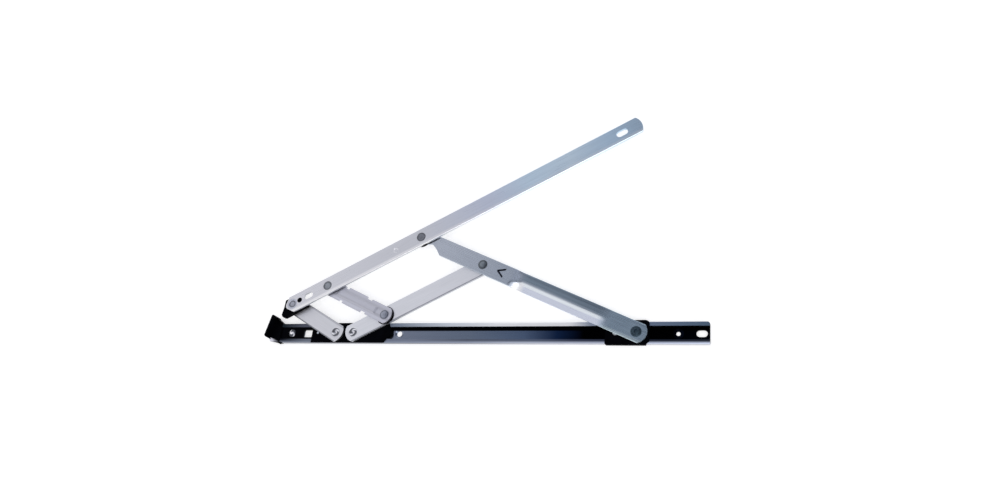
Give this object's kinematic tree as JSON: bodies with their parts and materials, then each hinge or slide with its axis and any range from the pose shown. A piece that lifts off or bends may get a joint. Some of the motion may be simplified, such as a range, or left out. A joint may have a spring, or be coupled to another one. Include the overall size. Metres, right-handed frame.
{
  "type": "friction stay",
  "caption": "Window friction stay drawn part open: folded track with a running slider, cranked main arm, notched link, short arms and a slotted vent bar with nose cap.",
  "frame": {"origin": "on the rear base pivot's axis, at the back of the track's web", "axes": "+X along the track from the cap end to the plain end, +Y the way the vent bar opens, +Z out of the track's back towards the vent bar"},
  "size_m": [0.403, 0.2057, 0.013],
  "materials": {
    "track_steel": "rolled stainless strip, smooth, reflects dark surroundings",
    "steel": "brushed stainless strip, grain along each bar",
    "rivet_steel": "pressed rivet heads, duller than the bars",
    "black_plastic": "moulded black nylon, slightly glossy",
    "black_nylon": "plain black nylon"
  },
  "bodies": {
    "track": {"track": "track_steel", "track_end_cap": "black_plastic", "end_cap_rivet": "rivet_steel", "base_block": "black_plastic", "block_pin": "rivet_steel", "front_base_rivet": "rivet_steel", "rear_base_rivet": "rivet_steel"},
    "front_arm": {"front_arm": "steel"},
    "short_arm": {"short_arm": "steel", "main_arm_rivet": "rivet_steel", "link_arm_rivet": "rivet_steel", "main_arm_washer": "black_nylon", "link_arm_washer": "black_nylon"},
    "main_arm": {"main_arm": "steel"},
    "link": {"notched_link": "steel"},
    "slider": {"slider_shoe": "black_plastic", "slider_screw": "rivet_steel", "slider_pad": "black_nylon", "slider_rivet": "rivet_steel"},
    "vent": {"vent_bar": "steel", "vent_end_cap": "black_plastic", "front_vent_rivet": "rivet_steel", "link_vent_rivet": "rivet_steel", "main_vent_rivet": "rivet_steel", "link_vent_spacer": "black_nylon", "main_vent_spacer": "black_nylon"}
  },
  "joints": [
    {"name": "short_arm_pivot", "type": "hinge", "parent": "track", "child": "short_arm", "pos_m": [0, 0, 0.006], "axis": [0, 0, 1], "range_deg": [-27, 8]},
    {"name": "front_arm_pivot", "type": "hinge", "parent": "track", "child": "front_arm", "pos_m": [-0.018, 0, 0.006], "axis": [0, 0, 1], "range_deg": [-8.6, 28.6]},
    {"name": "main_arm_pivot", "type": "hinge", "parent": "short_arm", "child": "main_arm", "pos_m": [0.1194, 0.06084, 0.0074], "axis": [0, 0, 1], "range_deg": [-15.4, 51.4]},
    {"name": "link_pivot", "type": "hinge", "parent": "short_arm", "child": "link", "pos_m": [0.03029, 0.01544, 0.0074], "axis": [0, 0, 1], "range_deg": [-15.4, 51.4]},
    {"name": "vent_pivot", "type": "hinge", "parent": "main_arm", "child": "vent", "pos_m": [0.05732, 0.0886, 0.0094], "axis": [0, 0, 1], "range_deg": [-51.4, 15.4]},
    {"name": "slider_pivot", "type": "hinge", "parent": "main_arm", "child": "slider", "pos_m": [0.25541, 0, 0.005], "axis": [0, 0, 1], "range_deg": [-24.4, 7.4]}
  ],
  "couplings": [
    {"joint": "front_arm_pivot", "follows": "short_arm_pivot", "ratio": -1.0505},
    {"joint": "main_arm_pivot", "follows": "short_arm_pivot", "ratio": -1.8925},
    {"joint": "link_pivot", "follows": "short_arm_pivot", "ratio": -1.8925},
    {"joint": "vent_pivot", "follows": "short_arm_pivot", "ratio": 1.8925},
    {"joint": "slider_pivot", "follows": "short_arm_pivot", "ratio": 0.89249}
  ]
}
